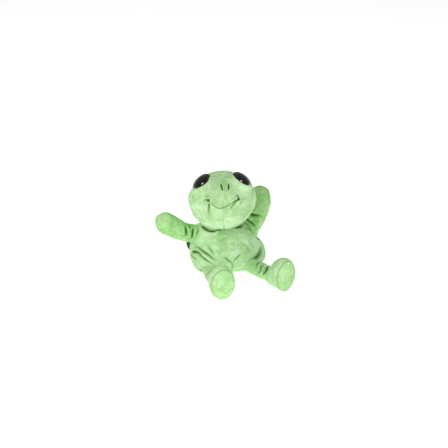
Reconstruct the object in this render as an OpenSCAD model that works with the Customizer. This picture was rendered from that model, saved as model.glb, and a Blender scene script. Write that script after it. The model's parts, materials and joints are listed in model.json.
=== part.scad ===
// Plush turtle glove puppet, sitting, seen from its face along +Y.
// Origin: centre of the hand opening, on the surface it sits on. +Z up.

/* [Body] */
// Half width of the glove body at its widest ring
body_rx = 64; // [60:1:68]
// Half depth of the glove body at its widest ring
body_ry = 53; // [50:1:56]
// Half height of the rounded form that the body is cut from
body_rz = 46; // [44:1:48]
// Height of the widest ring above the hem
belly_z = 28; // [26:1:30]
// Sideways lean of the body for each unit of height
body_lean = 0.15; // [0.1:0.01:0.16]

/* [Fabric] */
// Thickness of a plush panel with its pile
plush = 2.5; // [2:0.1:3]
// Thickness of the lining fabric
lining = 1; // [0.8:0.1:1.2]
// Greatest thickness of the wadding in the back shell
wadding = 7; // [5:0.5:9]

/* [Head] */
// Half width of the head
head_rx = 56; // [54:1:57]
// Half height and half depth of the head
head_r = 50; // [48:1:51]
// Radius of the domed eye
eye_r = 15; // [12:0.5:15]
// Inner radius of the finger pocket in the head
pocket_r = 9; // [8:0.5:10]

/* [Arms] */
// Length of an arm from its shoulder pivot to the tip of its mitt
arm_len = 64; // [60:1:66]
// Half width of the mitt
mitt_rx = 18.5; // [17:0.5:21]
// Half thickness of the mitt
mitt_ry = 17; // [15:0.5:18]
// Inner radius of an arm's finger sleeve
sleeve_r = 7; // [6.5:0.1:7]

/* [Legs] */
// Length of a leg from its hip pivot to its sole
leg_len = 72; // [68:1:76]
// Radius of the leg tube
leg_r = 13; // [12:0.5:13.5]
// Half width of the foot
foot_rx = 22; // [20:0.5:24]
// Half height of the foot
foot_ry = 29; // [27:0.5:30]

/* [Hidden] */
// Gap between two pieces that lie against each other
gap = 0.1;
// Centre of the head, and its roll to one side
head_c = [-13, -26, 136];
head_roll = -3;
neck_xy = [-11, 2];
neck_hole_r = 14;
collar_z = [62, 79];
collar_r = 14.5;
// Elevation, round the head's side-to-side axis, of each seam: 0 faces front, 90 faces up
chin_seam = -121;
forehead_seam = 97;
back_seam = 150;
// The last section of a head panel, just short of the ear point
ear_end = 89;
// Height of the eye's dome, and of its base above the head
dome_h = 5.5;
dome_base = 1.4;
// Side angle and elevation of each eye; the right one is sewn on a little lower
eye_places = [[-36.5, 82], [37.5, 76]];
// The shank runs from this depth up into the dome, through its felt ring and its washer
shank_r = 2.4;
shank_depth = 7.5;
shank_len = 9.5;
ring_h = 1.2;
washer_r = 6.5;
washer_h = 1.3;
washer_depth = 5.4;
// Foot and length of the finger pocket's tube, and length of an arm's finger sleeve
pocket_z = 88;
pocket_len = 47;
sleeve_len = 34;
// How far a finger's way runs back into the body from a shoulder
arm_hole_len = 40;
// Height and thickness of the band inside the hem, the first as an angle
band_rise = 9;
band_t = 1.2;
// Half the angle to the side that the head's stuffing fills, and its gap under the panels
stuffing_end = 84;
stuffing_gap = 1.2;
// The nostrils and the mouth are sewn a little off the middle, each to its own side
nose_side = 3;
nostril_half = 6;
mouth_side = -2;
mouth_half = 26;
mouth_low = 14;
mouth_rise = 14;
thread_r = 0.6;
// Shoulder and hip pivots, with the turns that lay each limb's own +Z along it
shoulders = [[-71, -2, 59.5], [48, 6, 68]];
arm_turns = [[0, -56, 0], [-16, 5, 0]];
ball_r = 11;
hips = [[-37, -57.5, 15], [44, -53, 15]];
leg_turns = [11, 36];
shell_low = -28;
shell_high = 46;
// Angles round the body where the shell starts and ends; its middle lies off the spine
shell_from = 30;
shell_to = 160;
neck_ring = 70;
// Share by which the front of the hem is tucked in under the belly
front_tuck = 0.2;
green = "#b9dfa4";
mitt_green = "#a8d98f";
dark_green = "#2f5a22";
cream = "#e8e4d4";

// n equal steps from a to b, both ends included
function span(a, b, n) = [for (i = [0:n]) a + (b - a) * i / n];
function grid(f, us, vs) = [for (v = vs) [for (u = us) f(u, v)]];
function flip(list) = [for (i = [len(list) - 1:-1:0]) list[i]];
function quad(a, b, c, d) = [[a, b, c], [a, c, d]];
function flat(lists) = [for (l = lists) for (x = l) x];
function mean(points) = [for (p = points) 1] * points / len(points);

// Closed solid between an outer and an inner grid, walled at every free edge.
// With wrap, each row is a closed ring.
module slab(outer, inner, wrap = false) {
  rows = len(outer);
  cols = len(outer[0]);
  lastc = wrap ? cols - 1 : cols - 2;
  at = function(side, r, c) side * rows * cols + r * cols + c % cols;
  top = rows - 1;
  end = cols - 1;
  sheets = [for (r = [0:rows - 2]) for (c = [0:lastc]) each concat(
    quad(at(0, r, c), at(0, r + 1, c), at(0, r + 1, c + 1), at(0, r, c + 1)),
    quad(at(1, r, c), at(1, r, c + 1), at(1, r + 1, c + 1), at(1, r + 1, c)))];
  rims = [for (c = [0:lastc]) each concat(
    quad(at(0, 0, c), at(0, 0, c + 1), at(1, 0, c + 1), at(1, 0, c)),
    quad(at(0, top, c + 1), at(0, top, c), at(1, top, c), at(1, top, c + 1)))];
  sides = wrap ? [] : [for (r = [0:rows - 2]) each concat(
    quad(at(0, r + 1, 0), at(0, r, 0), at(1, r, 0), at(1, r + 1, 0)),
    quad(at(0, r, end), at(0, r + 1, end), at(1, r + 1, end), at(1, r, end)))];
  polyhedron(concat(flat(outer), flat(inner)), concat(sheets, rims, sides));
}

// Closed solid through a list of rings, with a cap at each end
module blob(rings) {
  rows = len(rings);
  cols = len(rings[0]);
  at = function(r, c) r * cols + c % cols;
  low = rows * cols;
  walls = [for (r = [0:rows - 2]) for (c = [0:cols - 1]) each
    quad(at(r, c), at(r + 1, c), at(r + 1, c + 1), at(r, c + 1))];
  caps = [for (c = [0:cols - 1]) each [[at(0, c), at(0, c + 1), low],
    [at(rows - 1, c + 1), at(rows - 1, c), low + 1]]];
  polyhedron(concat(flat(rings), [mean(rings[0]), mean(rings[rows - 1])]), concat(walls, caps));
}

// One ring of a limb: [height, half width, half thickness, sideways shift], shrunk by off
function ring(s, off, n = 16) = [for (i = [0:n - 1]) let (a = 360 * i / n)
  [(s[1] - off) * cos(a), (s[2] - off) * sin(a) + s[3], s[0]]];
function rings(profile, off) = [for (s = profile) ring(s, off)];

// A point of the body at angle u round it and angle v above its widest ring, off inside it
function body_point(u, v, off) = let (z = v <= hem_angle ? 0 : belly_z + (body_rz - off) * sin(v),
    tuck = v < 0 && sin(u) < 0 ? 1 - front_tuck * (v / hem_angle) * (v / hem_angle) : 1)
  [(body_rx - off) * cos(u) * cos(v) - body_lean * z,
    (body_ry - off) * sin(u) * cos(v) * tuck, z];
hem_angle = -asin(belly_z / body_rz);
function body_grid(us, vs, off) = grid(function(u, v) body_point(u, v, off), us, vs);

// A point of the head at elevation e round its side-to-side axis and angle w out to the side
function head_point(w, e, off) = [(head_rx - off) * sin(w),
  -(head_r - off) * cos(w) * cos(e), (head_r - off) * cos(w) * sin(e)];
function head_grid(ws, es, off) = grid(function(w, e) head_point(w, e, off), ws, es);

module in_head() {
  translate(head_c) rotate([0, head_roll, 0]) children();
}

// The pose of an eye: its base lies on the head, with +Z outward
module at_eye(side) {
  place = eye_places[side < 0 ? 0 : 1];
  lean = atan2(sin(place[0]) / head_rx, cos(place[0]) / head_r);
  in_head() translate(head_point(place[0], place[1], 0))
    rotate([90 - place[1], 0, 0]) rotate([0, lean, 0]) children();
}

module at_arm(k) {
  translate(shoulders[k]) rotate(arm_turns[k]) children();
}

module at_leg(k) {
  translate(hips[k]) rotate([90, 0, leg_turns[k]]) children();
}

// The way a finger takes from the body into an arm
module arm_hole(k) {
  at_arm(k) translate([0, 0, -arm_hole_len])
    cylinder(h = arm_hole_len, r = sleeve_r + 2, $fn = 48);
}

module body_panel(from, to) {
  vs = span(hem_angle, neck_ring, 8);
  us = span(from, to, 12);
  color(green) difference() {
    slab(body_grid(us, vs, 0), body_grid(us, vs, plush));
    for (k = [0, 1]) arm_hole(k);
  }
}

module body_front() {
  body_panel(-180 + gap, -gap);
}

module body_back() {
  body_panel(gap, 180 - gap);
}

module glove_lining() {
  vs = span(hem_angle, neck_ring, 8);
  us = span(0, 345, 23);
  color(cream) difference() {
    slab(body_grid(us, vs, plush + gap), body_grid(us, vs, plush + gap + lining), wrap = true);
    for (k = [0, 1]) arm_hole(k);
  }
}

// The band is sewn inside the hem, so it lies against the lining
module hem_band() {
  us = span(0, 345, 23);
  vs = span(hem_angle, hem_angle + band_rise, 1);
  off = plush + lining + 2 * gap;
  color(dark_green)
    slab(body_grid(us, vs, off), body_grid(us, vs, off + band_t), wrap = true);
}

// The wadding swells from the shell's edges to its middle
function swell(u, v) = wadding * sin(180 * (u - shell_from) / (shell_to - shell_from))
  * sqrt(max(0, sin(180 * (v - shell_low) / (shell_high - shell_low))));
shell_us = span(shell_from, shell_to, 12);
shell_vs = span(shell_low, shell_high, 7);
// Height of the padding's inner face above the body, and of its outer face at the edges
shell_rest = 1;
shell_edge = 2.4;
shell_plush = 1.5;
function shell_grid(extra) = grid(function(u, v) body_point(u, v, -extra - swell(u, v)),
  shell_us, shell_vs);

module shell_padding() {
  color("ivory") slab(shell_grid(shell_edge), body_grid(shell_us, shell_vs, -shell_rest));
}

module shell_cover() {
  color(dark_green) slab(shell_grid(shell_edge + gap + shell_plush), shell_grid(shell_edge + gap));
}

module neck_collar() {
  color(green) translate([neck_xy[0], neck_xy[1], collar_z[0]]) difference() {
    cylinder(h = collar_z[1] - collar_z[0], r = collar_r, $fn = 64);
    translate([0, 0, -1])
      cylinder(h = collar_z[1] - collar_z[0] + 2, r = collar_r - plush, $fn = 64);
  }
}

// The round hole under the head where the neck and the finger go in
module neck_hole() {
  translate([neck_xy[0], neck_xy[1], collar_z[1]]) cylinder(h = 32, r = neck_hole_r, $fn = 64);
}

module head_panel(ws, es) {
  in_head() slab(head_grid(ws, es, 0), head_grid(ws, es, plush));
}

module face_panel(side) {
  ws = side < 0 ? span(-ear_end, -gap / 2, 7) : span(gap / 2, ear_end, 7);
  color(green) difference() {
    head_panel(ws, span(chin_seam + gap, forehead_seam, 12));
    neck_hole();
    at_eye(side) translate([0, 0, -10]) cylinder(h = 20, r = shank_r + 0.4, $fn = 32);
  }
}

module left_face_panel() {
  face_panel(-1);
}

module right_face_panel() {
  face_panel(1);
}

module crown_panel() {
  color(green) head_panel(span(-ear_end, ear_end, 14),
    span(forehead_seam + gap, back_seam - gap, 4));
}

module head_back_panel() {
  color(green) difference() {
    head_panel(span(-ear_end, ear_end, 14), span(back_seam, 360 + chin_seam - gap, 6));
    neck_hole();
  }
}

module head_stuffing() {
  ws = span(-stuffing_end, stuffing_end, 12);
  es = span(0, 337.5, 15);
  off = plush + stuffing_gap;
  color("white") difference() {
    in_head() blob([for (w = ws) [for (e = es) head_point(w, -e, off)]]);
    translate([neck_xy[0], neck_xy[1], pocket_z - 18])
      cylinder(h = pocket_len + 19, r = pocket_r + lining + gap, $fn = 64);
    for (side = [-1, 1]) at_eye(side) translate([0, 0, -10])
      cylinder(h = 12, r = washer_r + 1, $fn = 32);
  }
}

// A blind tube that takes the index finger
module head_finger_pocket() {
  color(cream) translate([neck_xy[0], neck_xy[1], pocket_z]) difference() {
    cylinder(h = pocket_len, r = pocket_r + lining, $fn = 64);
    translate([0, 0, -lining]) cylinder(h = pocket_len, r = pocket_r, $fn = 64);
  }
}

// Domed eye with the shank that its washer grips
module eye(side) {
  ball = (eye_r * eye_r + dome_h * dome_h) / (2 * dome_h);
  color("black") at_eye(side) {
    translate([0, 0, dome_base]) intersection() {
      translate([0, 0, dome_h - ball]) sphere(r = ball, $fn = 64);
      cylinder(h = dome_h + 1, r = eye_r, $fn = 64);
    }
    translate([0, 0, -shank_depth]) cylinder(h = shank_len, r = shank_r, $fn = 32);
  }
}

module left_eye() {
  eye(-1);
}

module right_eye() {
  eye(1);
}

module eye_ring(side) {
  color("#3a332c") at_eye(side) translate([0, 0, 0.1]) difference() {
    cylinder(h = ring_h, r = eye_r + 2, $fn = 64);
    translate([0, 0, -1]) cylinder(h = 4, r = shank_r + 0.1, $fn = 32);
  }
}

module left_eye_ring() {
  eye_ring(-1);
}

module right_eye_ring() {
  eye_ring(1);
}

module eye_washer(side) {
  color("gray") at_eye(side) translate([0, 0, -washer_depth]) difference() {
    cylinder(h = washer_h, r = washer_r, $fn = 64);
    translate([0, 0, -1]) cylinder(h = 4, r = shank_r + 0.05, $fn = 32);
  }
}

module left_eye_washer() {
  eye_washer(-1);
}

module right_eye_washer() {
  eye_washer(1);
}

// A thread that lies on the head along a list of [side angle, elevation]
module thread(way, r) {
  in_head() blob([for (i = [0:len(way) - 1])
    let (p = head_point(way[i][0], way[i][1], -r - gap),
      q = head_point(way[min(i + 1, len(way) - 1)][0], way[min(i + 1, len(way) - 1)][1], -r - gap),
      o = head_point(way[max(i - 1, 0)][0], way[max(i - 1, 0)][1], -r - gap),
      along = (q - o) / norm(q - o), out = p / norm(p), across = cross(along, out))
    [for (a = span(0, 315, 7)) p + r * (cos(a) * out + sin(a) * across)]]);
}

module nostril_stitches() {
  color("black") for (side = [-1, 1])
    thread([for (e = span(44, 55, 3)) [nose_side + side * nostril_half, e]], 0.8);
}

// The smile rises with the square of the distance from its middle
function mouth_elevation(w) = mouth_low + mouth_rise * (w / mouth_half) * (w / mouth_half);

module mouth_stitch() {
  color(dark_green) thread([for (w = span(-mouth_half + 2, mouth_half - 2, 12))
    [mouth_side + w, mouth_elevation(w)]], thread_r);
}

module dimple_threads() {
  color(dark_green) for (side = [-1, 1]) thread([for (k = [-1:1])
    [mouth_side + side * mouth_half, mouth_elevation(mouth_half) + 3 * k]], thread_r);
}

// The arm's outer form, as [height, half width, half thickness, shift], from its round root up
function root(r, angles) = [for (a = angles) [r * sin(a), r * cos(a), r * cos(a), 0]];
function arm_form() = let (t = arm_len / 65) concat(root(ball_r, [-30, 0]),
  [[9 * t, 11, 11, 0], [17 * t, 13.5, 12.5, 0], [26 * t, mitt_rx - 2.5, mitt_ry - 2, 0],
  [36 * t, mitt_rx, mitt_ry, 0], [46 * t, mitt_rx - 1, mitt_ry - 1, 0],
  [55 * t, mitt_rx - 5, mitt_ry - 4, 0], [61.5 * t, 9.5, 8.5, 0], [arm_len, 4, 4, 0]]);

// The rings of a form from its first section to the one that is left places before its last
function inner_rings(form, off, left) = rings([for (i = [0:len(form) - 1 - left]) form[i]], off);

// Plush bag, closed at the tip of the mitt and open at the shoulder
module arm_skin(k) {
  color(mitt_green) at_arm(k)
    blob(concat(flip(inner_rings(arm_form(), plush, 1)), rings(arm_form(), 0)));
}

module mitt_stuffing(k) {
  form = inner_rings(arm_form(), plush + 3 * gap, 1);
  color("white") at_arm(k) difference() {
    blob([for (i = [3:len(form) - 1]) form[i]]);
    translate([0, 0, -1]) cylinder(h = sleeve_len + 2, r = sleeve_r + lining + gap, $fn = 64);
  }
}

// A blind tube that takes the thumb or the middle finger
module finger_sleeve(k) {
  color(cream) at_arm(k) difference() {
    cylinder(h = sleeve_len, r = sleeve_r + lining, $fn = 64);
    translate([0, 0, -lining]) cylinder(h = sleeve_len, r = sleeve_r, $fn = 64);
  }
}

module left_arm_skin() {
  arm_skin(0);
}

module right_arm_skin() {
  arm_skin(1);
}

module left_mitt_stuffing() {
  mitt_stuffing(0);
}

module right_mitt_stuffing() {
  mitt_stuffing(1);
}

module left_finger_sleeve() {
  finger_sleeve(0);
}

module right_finger_sleeve() {
  finger_sleeve(1);
}

// The leg tube's form, and the foot's, which rises from the floor above the tube
ankle = 34;
function leg_form() = concat(root(leg_r, [-70, -40, 0]),
  [for (z = [15, ankle]) [z, leg_r - 0.5, leg_r - 0.5, 0]]);
function foot_section(z, share) = let (ry = foot_ry * share)
  [z, foot_rx * share, ry, ry - hips[0][2]];
function foot_form() = [[ankle + gap, leg_r - 0.3, leg_r - 0.3, 0],
  foot_section(ankle + 8, 0.72), foot_section(ankle + 18, 0.93),
  foot_section(leg_len - 11, 1), foot_section(leg_len - 3, 0.97)];

// Plush bag, closed at the hip and open at the ankle
module leg_skin(k) {
  form = leg_form();
  color(green) at_leg(k) blob(concat(rings(form, 0),
    flip(rings([for (i = [1:len(form) - 1]) form[i]], plush))));
}

module leg_stuffing(k) {
  form = leg_form();
  color("white") at_leg(k) blob(rings([for (i = [1:len(form) - 1])
    form[i] + [i == 1 ? gap : 0, 0, 0, 0]], plush + gap));
}

module foot_skin(k) {
  color(green) at_leg(k) slab(rings(foot_form(), 0), rings(foot_form(), plush), wrap = true);
}

module foot_stuffing(k) {
  color("white") at_leg(k) blob(rings(foot_form(), plush + gap));
}

// A flat oval panel that closes the foot
module sole(k) {
  last = foot_form()[4];
  color(mitt_green) at_leg(k) blob([for (step = [[gap, 0], [plush, 0.5], [3, 2]])
    ring(last + [step[0], 0, 0, 0], step[1])]);
}

module left_leg_skin() {
  leg_skin(0);
}

module right_leg_skin() {
  leg_skin(1);
}

module left_leg_stuffing() {
  leg_stuffing(0);
}

module right_leg_stuffing() {
  leg_stuffing(1);
}

module left_foot_skin() {
  foot_skin(0);
}

module right_foot_skin() {
  foot_skin(1);
}

module left_foot_stuffing() {
  foot_stuffing(0);
}

module right_foot_stuffing() {
  foot_stuffing(1);
}

module left_sole() {
  sole(0);
}

module right_sole() {
  sole(1);
}

body_front();
body_back();
glove_lining();
hem_band();
shell_cover();
shell_padding();
neck_collar();
left_face_panel();
right_face_panel();
crown_panel();
head_back_panel();
head_stuffing();
head_finger_pocket();
left_eye();
right_eye();
left_eye_ring();
right_eye_ring();
left_eye_washer();
right_eye_washer();
nostril_stitches();
mouth_stitch();
dimple_threads();
left_arm_skin();
right_arm_skin();
left_mitt_stuffing();
right_mitt_stuffing();
left_finger_sleeve();
right_finger_sleeve();
left_leg_skin();
right_leg_skin();
left_leg_stuffing();
right_leg_stuffing();
left_foot_skin();
right_foot_skin();
left_foot_stuffing();
right_foot_stuffing();
left_sole();
right_sole();
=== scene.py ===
import json
import math
import bpy
import numpy as np
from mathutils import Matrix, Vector
from mathutils.bvhtree import BVHTree


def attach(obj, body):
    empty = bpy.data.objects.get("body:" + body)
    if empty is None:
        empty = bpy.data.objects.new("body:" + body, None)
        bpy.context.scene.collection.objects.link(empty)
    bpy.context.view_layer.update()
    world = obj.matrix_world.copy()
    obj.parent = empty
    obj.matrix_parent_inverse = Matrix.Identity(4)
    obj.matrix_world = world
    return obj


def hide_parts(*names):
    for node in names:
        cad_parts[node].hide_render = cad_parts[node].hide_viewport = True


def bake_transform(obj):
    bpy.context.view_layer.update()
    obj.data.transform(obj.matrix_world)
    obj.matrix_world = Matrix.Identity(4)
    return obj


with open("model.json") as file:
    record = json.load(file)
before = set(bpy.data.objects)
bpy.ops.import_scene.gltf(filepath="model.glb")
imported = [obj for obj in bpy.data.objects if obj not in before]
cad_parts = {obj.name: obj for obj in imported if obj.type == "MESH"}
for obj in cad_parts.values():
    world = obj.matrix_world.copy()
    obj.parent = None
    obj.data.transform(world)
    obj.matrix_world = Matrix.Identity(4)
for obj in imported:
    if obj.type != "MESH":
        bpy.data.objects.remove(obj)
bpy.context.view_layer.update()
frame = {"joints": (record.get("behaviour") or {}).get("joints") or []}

mm = 0.001    # every shape below is worked out in millimetres

joints = {j["name"]: j for j in frame["joints"]}


def pivotOf(name):
    return np.array(joints[name]["pos_m"]) / mm


def spin(axis, degrees):
    # right-handed turn about one of the frame's own axes
    a, b = [(1, 2), (2, 0), (0, 1)]["xyz".index(axis)], math.radians(degrees)
    m = np.eye(3)
    m[a[0], a[0]] = m[a[1], a[1]] = math.cos(b)
    m[a[0], a[1]], m[a[1], a[0]] = -math.sin(b), math.sin(b)
    return m


def smooth(x, low, high):
    # 0 below low, 1 above high, and an easy S between them
    t = np.clip((x - low) / (high - low), 0, 1)
    return t * t * (3 - 2 * t)


def hump(x, middle, width):
    # bell curve, 1 at middle
    return np.exp(-((x - middle) / width) ** 2)


def lumps(points, size, seed, waves=14):
    # soft unevenness: a sum of plane waves in fixed random directions, about -1 to 1
    dice = np.random.default_rng(seed)
    ways = dice.normal(size=(waves, 3))
    ways *= (2 * math.pi / size) / np.linalg.norm(ways, axis=1)[:, None]
    phase = dice.uniform(0, 2 * math.pi, waves)
    return np.sin(points @ ways.T + phase).sum(-1) / math.sqrt(waves)


def throughKeys(keys, x):
    # smooth curve through (x, value) keys: cubic with slopes from the neighbours
    keys = np.array(keys, float)
    kx, ky = keys[:, 0], keys[:, 1]
    slope = np.gradient(ky, kx)
    i = np.clip(np.searchsorted(kx, x) - 1, 0, len(kx) - 2)
    h = kx[i + 1] - kx[i]
    t = np.clip((x - kx[i]) / h, 0, 1)
    return ((1 + 2 * t) * (1 - t) ** 2 * ky[i] + t * (1 - t) ** 2 * h * slope[i]
            + t * t * (3 - 2 * t) * ky[i + 1] + t * t * (t - 1) * h * slope[i + 1])


def gridNormals(p):
    # cross product of the steps round the grid and along it
    n = np.cross(np.roll(p, -1, 1) - np.roll(p, 1, 1), np.gradient(p, axis=0))
    return n / (np.linalg.norm(n, axis=-1, keepdims=True) + 1e-9)


def distanceTo(p, path):
    # distance from every point to a polyline, and how far along it the nearest place is, 0 to 1
    path = np.array(path, float)
    steps = np.linalg.norm(np.diff(path, axis=0), axis=1)
    total, done = steps.sum(), 0.0
    best, along = np.full(p.shape[:-1], 1e9), np.zeros(p.shape[:-1])
    for a, b, length in zip(path[:-1], path[1:], steps):
        t = np.clip(((p - a) @ (b - a)) / (length * length + 1e-12), 0, 1)
        d = np.linalg.norm(p - a - t[..., None] * (b - a), axis=-1)
        nearer = d < best
        best = np.where(nearer, d, best)
        along = np.where(nearer, (done + t * length) / total, along)
        done += length
    return best, along


def crease(p, n, shade, path, deep, wide, ends):
    # a furrow along a path, with a soft roll on each side of it and painted shade down in it; it
    # fades at its ends
    d, along = distanceTo(p, path)
    fade = {"both": np.sqrt(np.clip(np.sin(math.pi * along), 0, 1)),
            "far": np.sqrt(np.clip(1 - along, 0, 1)),
            "none": np.ones_like(along)}[ends]
    dip = np.exp(-(d / wide) ** 2) * fade
    roll = np.exp(-((d - 2.3 * wide) / (1.2 * wide)) ** 2) * fade
    # painted shade in the furrow: one 3 mm deep or more is painted fully dark
    shade[...] = np.maximum(shade, dip * min(1, deep / 3))
    return p + n * (deep * (0.45 * roll - dip))[..., None]


def dimple(p, n, shade, at, deep, wide):
    dip = np.exp(-(np.linalg.norm(p - at, axis=-1) / wide) ** 2)
    # painted shade in the dimple, darkest at its middle
    shade[...] = np.maximum(shade, dip)
    return p - n * (deep * dip)[..., None]


def paintShadePatches(p, shade, place, spots):
    # broad soft patches of painted shade, as (first angle, second angle, strength, spread)
    for first, second, strength, spread in spots:
        d = np.linalg.norm(p - place(first, second), axis=-1)
        shade[...] = np.maximum(shade, strength * hump(d, 0, spread))


def quads(rows, cols, both=False):
    # faces of a grid that is closed round its rows, and with both along its columns too
    r, c = np.meshgrid(np.arange(rows if both else rows - 1), np.arange(cols), indexing="ij")
    up, on = (r + 1) % rows, (c + 1) % cols
    return np.stack([r * cols + c, r * cols + on, up * cols + on, up * cols + c],
                    -1).reshape(-1, 4)


def meshFrom(name, points, faces, shade=None):
    mesh = bpy.data.meshes.new(name)
    mesh.from_pydata((np.asarray(points).reshape(-1, 3) * mm).tolist(), [], faces)
    if shade is not None:
        layer = mesh.attributes.new("shade", "FLOAT", "POINT")
        layer.data.foreach_set("value", np.asarray(shade, np.float32).ravel())
    mesh.polygons.foreach_set("use_smooth", [True] * len(mesh.polygons))
    mesh.validate()
    piece = bpy.data.objects.new(name, mesh)
    bpy.context.collection.objects.link(piece)
    return piece


def skin(name, p, shade=None, closeLow=False, closeHigh=False, both=False, drop=None):
    # a grid of points as a surface; closed ends get a middle point; drop leaves out some faces
    rows, cols = p.shape[:2]
    points = p.reshape(-1, 3)
    shades = (np.zeros(p.shape[:2]) if shade is None else shade).ravel()
    faces = quads(rows, cols, both)
    if drop is not None:
        faces = faces[~drop.ravel()[faces].any(1)]
    faces = faces.tolist()
    ring = np.arange(cols)
    for wanted, row, turned in ((closeLow, 0, True), (closeHigh, rows - 1, False)):
        if wanted:
            points = np.vstack([points, p[row].mean(0)])
            shades = np.append(shades, shades[row * cols:(row + 1) * cols].mean())
            a, b = row * cols + ring, row * cols + (ring + 1) % cols
            if turned:
                a, b = b, a
            faces += np.stack([a, b, np.full(cols, len(points) - 1)], 1).tolist()
    return meshFrom(name, points, faces, shades)


def thicken(piece, thickness):
    m = piece.modifiers.new("thickness", "SOLIDIFY")
    m.thickness, m.offset, m.use_even_offset = thickness * mm, -1, False


def cordRings(path, radius, up):
    # rings of a cord carried along a path, flattened towards up, with rounded ends
    path = np.array(path, float)
    along = np.gradient(path, axis=0)
    along /= np.linalg.norm(along, axis=1)[:, None]
    side = np.cross(along, np.broadcast_to(up, path.shape))
    side /= np.linalg.norm(side, axis=1)[:, None] + 1e-9
    up = np.cross(side, along)
    s = np.linspace(-1, 1, len(path))
    full = radius * np.maximum(np.sqrt(1 - np.abs(s) ** 8), 0.12)[:, None, None]
    a = np.linspace(0, -2 * math.pi, 10, endpoint=False)[None, :, None]
    return path[:, None] + full * (np.cos(a) * side[:, None] + 0.8 * np.sin(a) * up[:, None])


def cords(name, groups):
    # several closed cords in one mesh
    points, faces, start = [], [], 0
    for rings in groups:
        rows, cols = rings.shape[:2]
        ring, last, end = np.arange(cols), (rows - 1) * cols, rows * cols
        on = (ring + 1) % cols
        caps = [np.stack([on, ring, np.full(cols, end)], 1),
                np.stack([last + ring, last + on, np.full(cols, end + 1)], 1)]
        points += [rings.reshape(-1, 3), rings[0].mean(0)[None], rings[-1].mean(0)[None]]
        faces += (quads(rows, cols) + start).tolist()
        faces += (np.vstack(caps) + start).tolist()
        start += end + 2
    return meshFrom(name, np.vstack(points), faces)


def smoothKeys(keys, steps=26):
    # a smooth line through keys, each a pair of surface coordinates
    keys = np.array(keys, float)
    at, t = np.arange(len(keys)), np.linspace(0, len(keys) - 1, steps)
    return [throughKeys(np.stack([at, column], 1), t) for column in keys.T]


def evenly(low, high, count, focus, width, gain):
    # places from low to high, drawn closer together round focus
    x = np.linspace(low, high, 3000)
    room = np.cumsum(1 + gain * hump(x, focus, width))
    return np.interp(np.linspace(room[0], room[-1], count), room, x)


def lathe(name, profile, place, turn, shade=None, sides=64, both=False):
    # a profile of (radius, height) spun round its own z axis, then turned and moved into place
    a = np.linspace(0, 2 * math.pi, sides, endpoint=False)
    r, z = np.array(profile, float).T
    p = np.stack([r[:, None] * np.cos(a), r[:, None] * np.sin(a), z[:, None] + 0 * a], -1)
    shades = None if shade is None else np.repeat(np.array(shade)[:, None], sides, 1)
    return skin(name, p @ np.array(turn).T + place, shades, closeLow=not both,
                closeHigh=not both, both=both)


# Materials

def ink(hexed):
    # a colour written as six hex digits, as linear light
    c = np.array([int(hexed[i:i + 2], 16) / 255 for i in (0, 2, 4)])
    return (*np.where(c < 0.04045, c / 12.92, ((c + 0.055) / 1.055) ** 2.4), 1.0)


class Wire:
    # a socket's value; arithmetic on it makes math nodes
    def __init__(self, paint, socket):
        self.paint, self.socket = paint, socket

    def math(self, way, other, turned=False):
        pair = [other, self] if turned else [self, other]
        return self.paint.node("ShaderNodeMath", {"operation": way}, pair)

    def __add__(self, other):
        return self.math("ADD", other)

    def __radd__(self, other):
        return self.math("ADD", other, True)

    def __mul__(self, other):
        return self.math("MULTIPLY", other)

    def __rmul__(self, other):
        return self.math("MULTIPLY", other, True)


class Paint:
    # a material under construction
    def __init__(self, name, constants):
        self.made = bpy.data.materials.new(name)
        self.made.use_nodes = True
        self.tree = self.made.node_tree
        self.shader = self.tree.nodes["Principled BSDF"]
        for socket, value in constants.items():
            self.shader.inputs[socket].default_value = value

    def plug(self, socket, value):
        if isinstance(value, Wire):
            self.tree.links.new(value.socket, socket)
        elif value is not None:
            socket.default_value = value

    def node(self, kind, settings, values=(), out=0):
        # values fill the shown inputs in order, or by name if they come as a dictionary
        made = self.tree.nodes.new(kind)
        for name, value in settings.items():
            setattr(made, name, value)
        if isinstance(values, dict):
            pairs = [(made.inputs[name], value) for name, value in values.items()]
        else:
            pairs = zip([s for s in made.inputs if s.enabled], values)
        for socket, value in pairs:
            self.plug(socket, value)
        return Wire(self, [s for s in made.outputs if s.enabled][out])

    def place(self):
        return self.node("ShaderNodeTexCoord", {}, out=3)

    def attribute(self, name):
        return self.node("ShaderNodeAttribute", {"attribute_name": name}, out=2)

    def noise(self, where, scale, detail=2.0, rough=0.5):
        return self.node("ShaderNodeTexNoise", {}, {"Vector": where, "Scale": scale,
                                                    "Detail": detail, "Roughness": rough})

    def between(self, x, low, high, start=0.0, end=1.0):
        return self.node("ShaderNodeMapRange", {}, [x, low, high, start, end])

    def mix(self, share, a, b):
        return self.node("ShaderNodeMix", {"data_type": "RGBA"}, [share, a, b])

    def stretched(self, where, x, y, z):
        return self.node("ShaderNodeVectorMath", {"operation": "MULTIPLY"}, [where, (x, y, z)])

    def bump(self, height, strength, distance):
        return self.node("ShaderNodeBump", {}, {"Strength": strength, "Distance": distance,
                                                "Height": height})

    def done(self, links):
        for socket, value in links.items():
            self.plug(self.shader.inputs[socket], value)
        return self.made


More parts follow.
